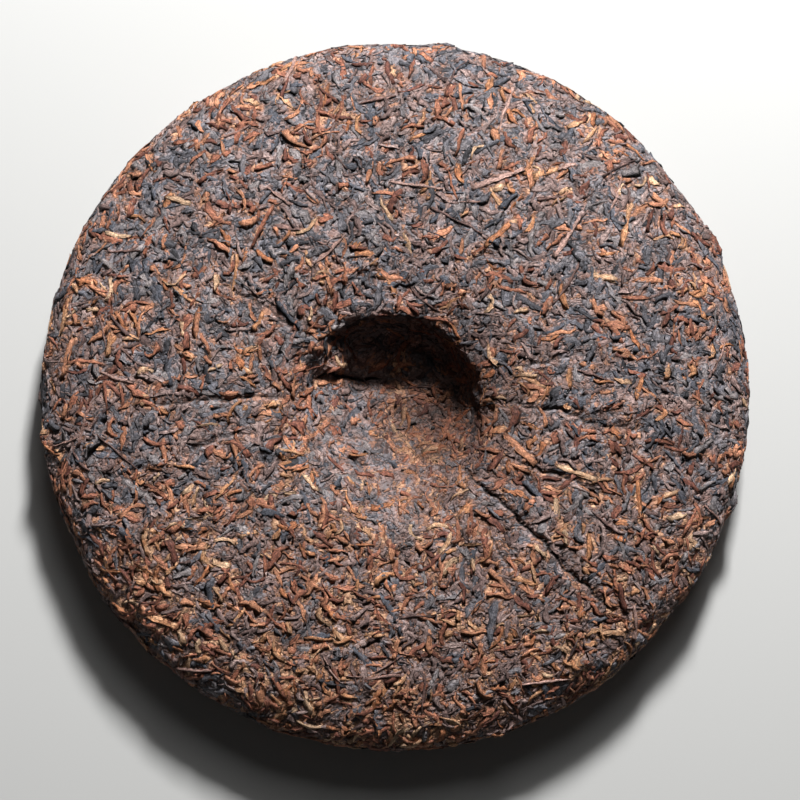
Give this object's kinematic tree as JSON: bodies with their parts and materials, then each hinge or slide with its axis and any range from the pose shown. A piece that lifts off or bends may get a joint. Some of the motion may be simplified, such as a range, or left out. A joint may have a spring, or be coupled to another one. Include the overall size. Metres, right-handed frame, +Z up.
{
  "type": "pressed tea cake",
  "caption": "Round, flat-domed cake of dry pressed tea leaves, back up, with an off-centre dimple and cloth folds in the middle. Lies on its domed front face.",
  "frame": {"origin": "on the surface that the cake lies on, under the middle of the cake", "axes": "+Z up through the cake's short way, out of the back with the dimple; +Y towards the side of the dimple that is steeper; +X completes the frame"},
  "size_m": [0.1963, 0.1953, 0.0273],
  "materials": {
    "pressed_leaf": "matt matted leaves with a faint dry sheen, charcoal and brown with rust and tan pieces"
  },
  "bodies": {
    "root": {"tea_cake": "pressed_leaf"}
  },
  "joints": []
}
